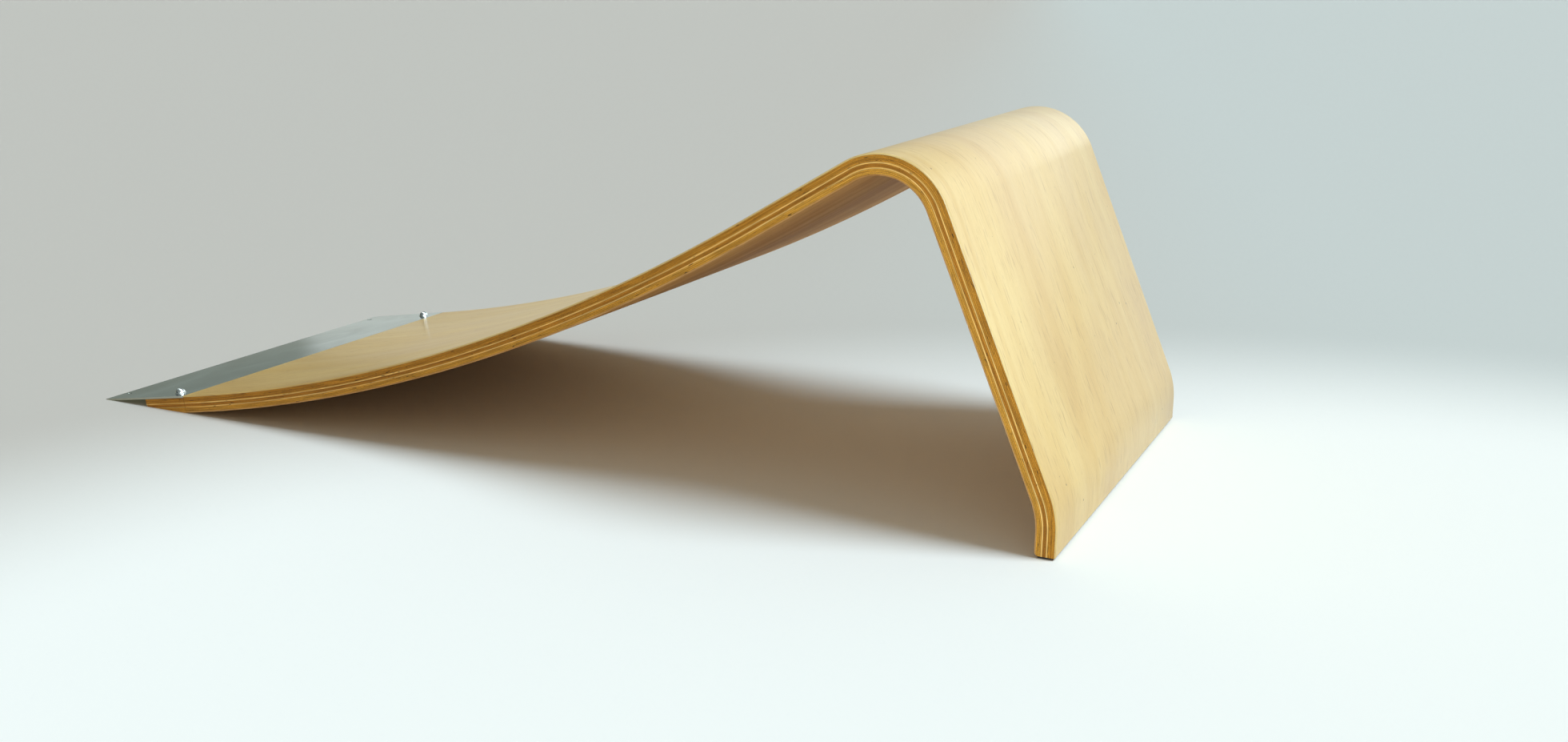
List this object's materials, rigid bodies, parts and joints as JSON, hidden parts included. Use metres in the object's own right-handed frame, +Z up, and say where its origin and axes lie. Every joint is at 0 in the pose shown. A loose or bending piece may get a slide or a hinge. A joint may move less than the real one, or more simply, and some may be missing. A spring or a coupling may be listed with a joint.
{
  "type": "jump ramp",
  "caption": "Free-standing jump ramp: a bent laminated wood board with a curved rising deck, round crest and rear leg, and a toe block with a flush steel lead-in plate.",
  "frame": {"origin": "on the ground, under the middle of the ramp's length and width", "axes": "+X runs up the ramp from the toe to the leg, +Y across it to the rider's left, +Z up"},
  "size_m": [1.041, 0.44, 0.3161],
  "materials": {
    "face_veneer": "pale birch, satin clear lacquer, grain along the ramp",
    "along_veneer": "birch edge with the grain along the ramp, clear lacquer",
    "across_veneer": "birch end grain with the grain across the ramp, clear lacquer",
    "plate_steel": "bare rolled sheet steel, blurred reflections",
    "screw_steel": "bright zinc plate",
    "strip_rubber": "matt black"
  },
  "bodies": {
    "root": {"face_veneer_top": "face_veneer", "veneer_02": "across_veneer", "veneer_03": "across_veneer", "veneer_04": "across_veneer", "veneer_05": "across_veneer", "veneer_06": "along_veneer", "veneer_07": "across_veneer", "veneer_08": "across_veneer", "veneer_09": "along_veneer", "veneer_10": "across_veneer", "veneer_11": "across_veneer", "veneer_12": "across_veneer", "face_veneer_under": "face_veneer", "toe_veneer_02": "across_veneer", "toe_veneer_03": "across_veneer", "toe_veneer_04": "across_veneer", "toe_veneer_05": "across_veneer", "toe_veneer_06": "along_veneer", "toe_veneer_07": "across_veneer", "toe_veneer_08": "across_veneer", "toe_veneer_09": "along_veneer", "toe_veneer_10": "across_veneer", "toe_veneer_11": "across_veneer", "toe_veneer_12": "across_veneer", "toe_veneer_13": "face_veneer", "lead_in_plate": "plate_steel", "plate_screw_right": "screw_steel", "plate_screw_left": "screw_steel", "foot_strip": "strip_rubber"}
  },
  "joints": []
}
